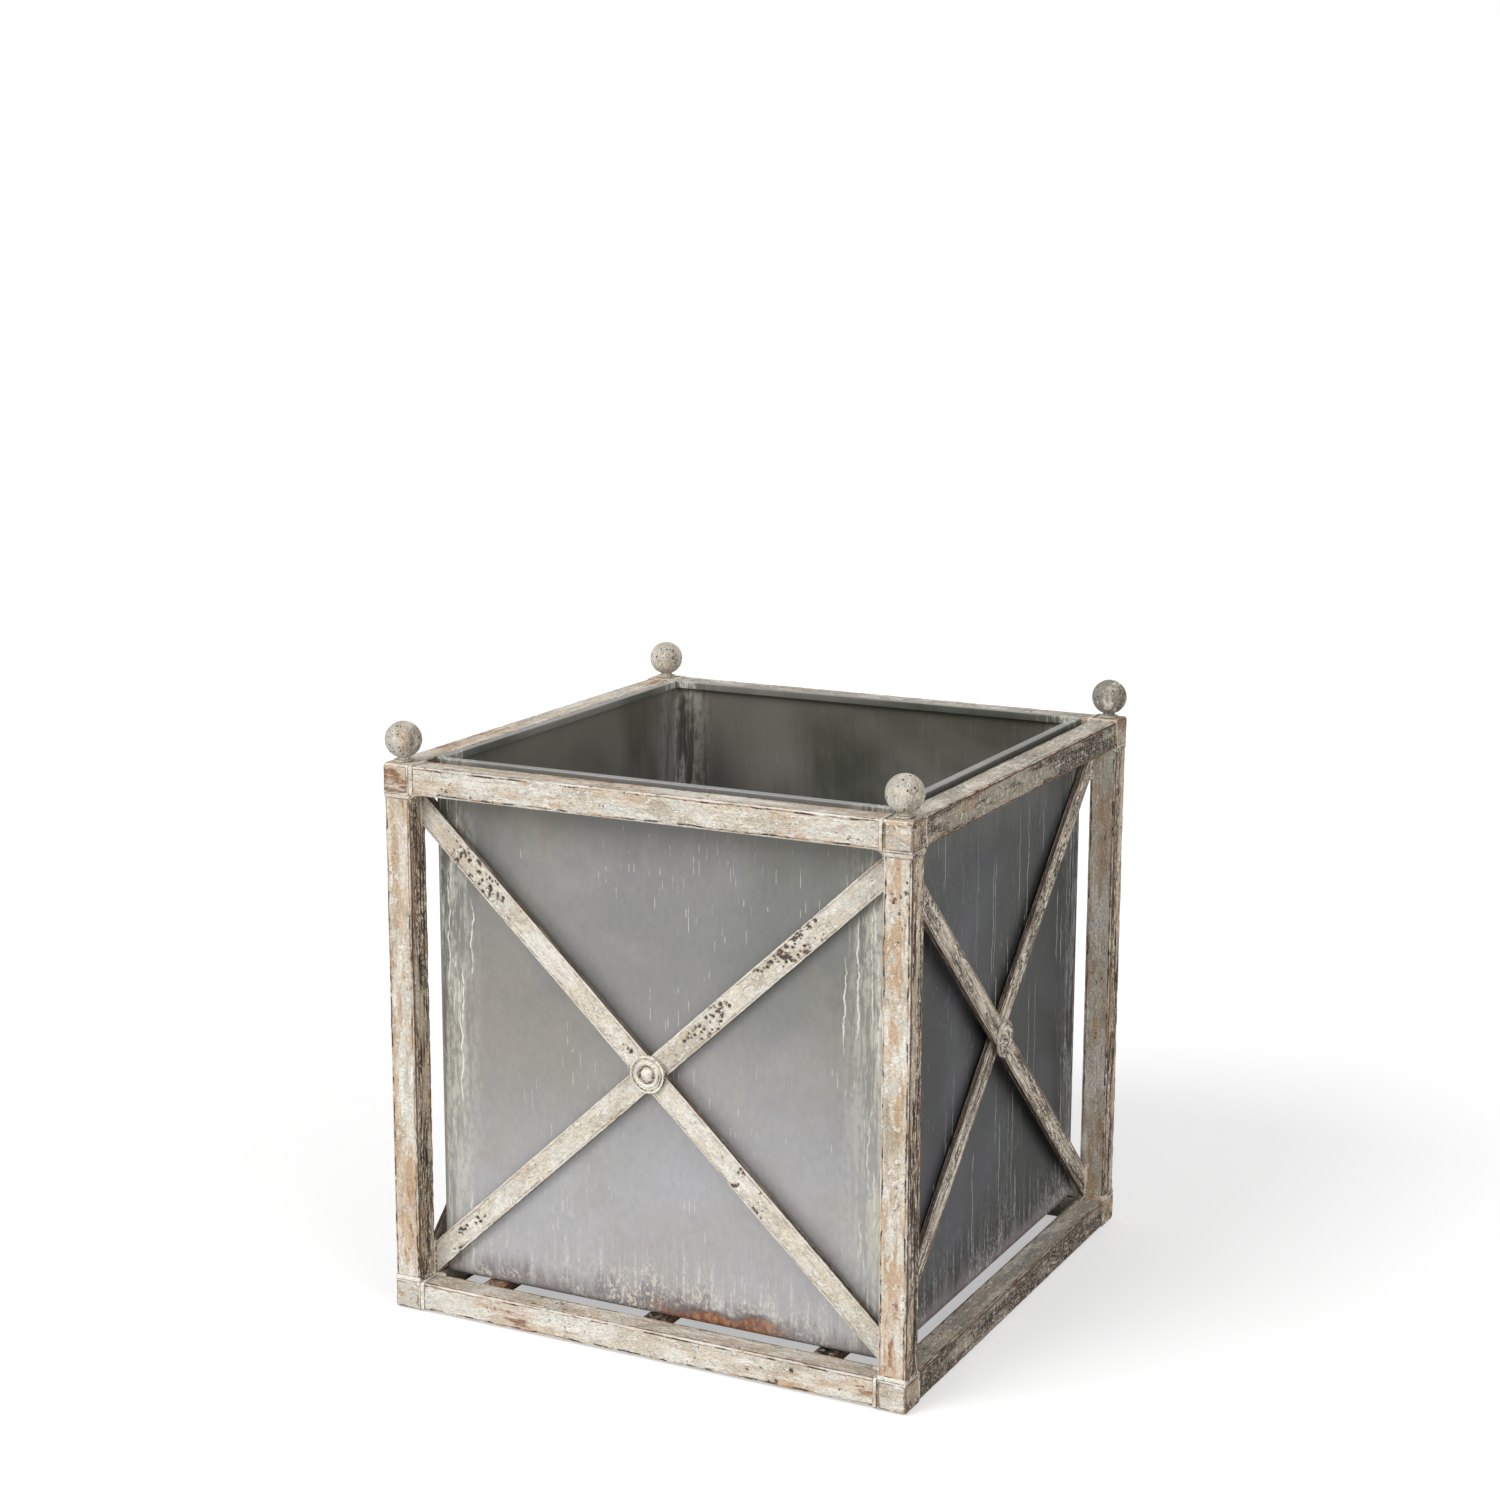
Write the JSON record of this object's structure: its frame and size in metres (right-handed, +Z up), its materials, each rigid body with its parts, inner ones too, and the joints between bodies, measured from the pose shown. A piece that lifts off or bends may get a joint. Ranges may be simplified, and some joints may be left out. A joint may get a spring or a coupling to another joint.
{
  "type": "square garden cachepot",
  "caption": "Square open steel planter frame with crossed flat-bar braces, rosettes and ball finials, holding a lift-out zinc liner on slats.",
  "frame": {"origin": "on the floor, under the middle of the square plan", "axes": "+Z up; +X towards the right-hand face and -Y towards the front face, the one that the picture shows nearly square on"},
  "size_m": [0.4864, 0.4864, 0.5149],
  "materials": {
    "painted_tube": "worn matt off-white paint over rust",
    "painted_block": "worn matt off-white paint over rust",
    "painted_bar": "worn matt off-white paint with dark pits",
    "painted_rosette": "worn matt off-white paint",
    "painted_slat": "thin off-white paint over dark steel",
    "worn_finial": "worn grey-white paint over cast metal",
    "bare_steel": "plain bright steel",
    "zinc_wall": "weathered grey zinc with pale runs",
    "zinc_pan": "weathered dark zinc",
    "zinc_rim": "weathered grey zinc, rubbed along the edge"
  },
  "bodies": {
    "frame": {"post_front_left": "painted_tube", "post_front_right": "painted_tube", "post_back_right": "painted_tube", "post_back_left": "painted_tube", "top_block_front_left": "painted_block", "top_block_front_right": "painted_block", "top_block_back_right": "painted_block", "top_block_back_left": "painted_block", "foot_block_front_left": "painted_block", "foot_block_front_right": "painted_block", "foot_block_back_right": "painted_block", "foot_block_back_left": "painted_block", "finial_ball_front_left": "worn_finial", "finial_ball_front_right": "worn_finial", "finial_ball_back_right": "worn_finial", "finial_ball_back_left": "worn_finial", "finial_washer_front_left": "worn_finial", "finial_washer_front_right": "worn_finial", "finial_washer_back_right": "worn_finial", "finial_washer_back_left": "worn_finial", "finial_stud_front_left": "bare_steel", "finial_stud_front_right": "bare_steel", "finial_stud_back_right": "bare_steel", "finial_stud_back_left": "bare_steel", "top_rail_front": "painted_tube", "top_rail_right": "painted_tube", "top_rail_back": "painted_tube", "top_rail_left": "painted_tube", "bottom_rail_front": "painted_tube", "bottom_rail_right": "painted_tube", "bottom_rail_back": "painted_tube", "bottom_rail_left": "painted_tube", "outer_brace_front": "painted_bar", "outer_brace_right": "painted_bar", "outer_brace_back": "painted_bar", "outer_brace_left": "painted_bar", "inner_brace_front": "painted_bar", "inner_brace_right": "painted_bar", "inner_brace_back": "painted_bar", "inner_brace_left": "painted_bar", "rosette_front": "painted_rosette", "rosette_right": "painted_rosette", "rosette_back": "painted_rosette", "rosette_left": "painted_rosette", "rivet_front": "painted_rosette", "rivet_right": "painted_rosette", "rivet_back": "painted_rosette", "rivet_left": "painted_rosette", "slat_left": "painted_slat", "slat_centre": "painted_slat", "slat_right": "painted_slat"},
    "liner": {"liner_wall": "zinc_wall", "liner_pan": "zinc_pan", "liner_rim": "zinc_rim"}
  },
  "joints": [
    {"name": "liner_lift", "type": "slide", "parent": "frame", "child": "liner", "axis": [0, 0, 1], "range_m": [0, 0.5]}
  ]
}
